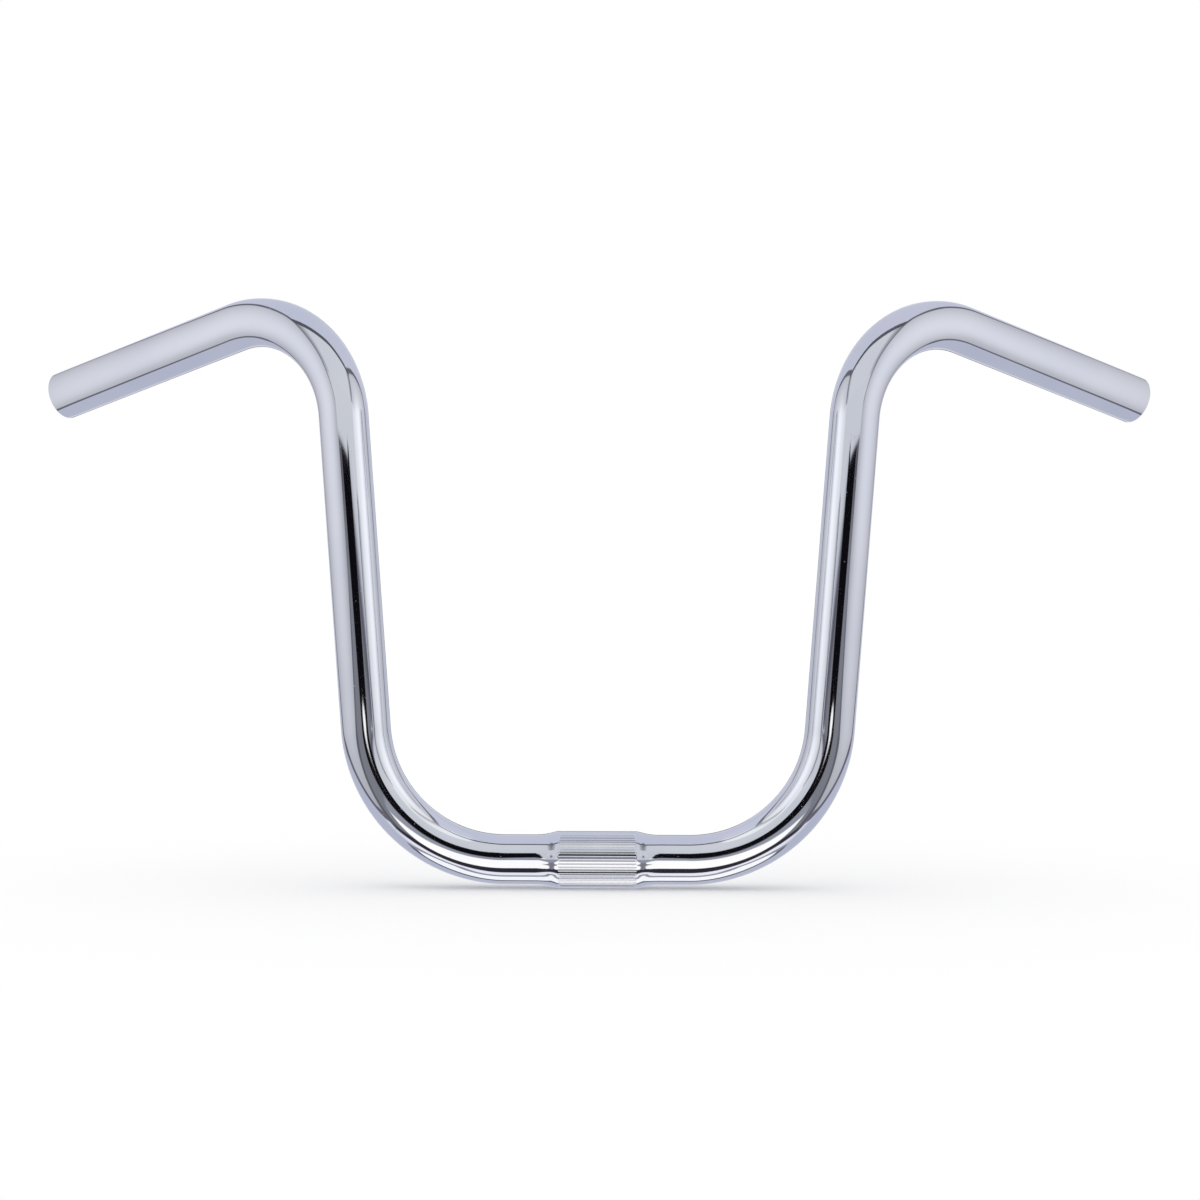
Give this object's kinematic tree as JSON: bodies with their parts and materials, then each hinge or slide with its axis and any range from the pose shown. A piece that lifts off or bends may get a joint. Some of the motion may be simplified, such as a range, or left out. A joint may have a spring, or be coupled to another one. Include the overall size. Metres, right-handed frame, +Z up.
{
  "type": "handlebar",
  "caption": "High-rise U-shaped handlebar of bent chromed steel tube, with a knurled clamp sleeve at the middle and swept-back grip ends.",
  "frame": {"origin": "centre of the clamp sleeve, on the tube's axis", "axes": "+X along the clamp axis towards the right grip, +Y back towards the rider, +Z up"},
  "size_m": [0.5208, 0.1012, 0.2656],
  "materials": {
    "chromed_tube": "mirror-polished chrome plate on seam-welded steel tube",
    "chromed_sleeve": "polished chrome plate over a straight knurl",
    "chromed_braze": "polished chrome plate over braze filler"
  },
  "bodies": {
    "root": {"bar_tube": "chromed_tube", "clamp_sleeve": "chromed_sleeve", "braze_fillet_left": "chromed_braze", "braze_fillet_right": "chromed_braze"}
  },
  "joints": []
}
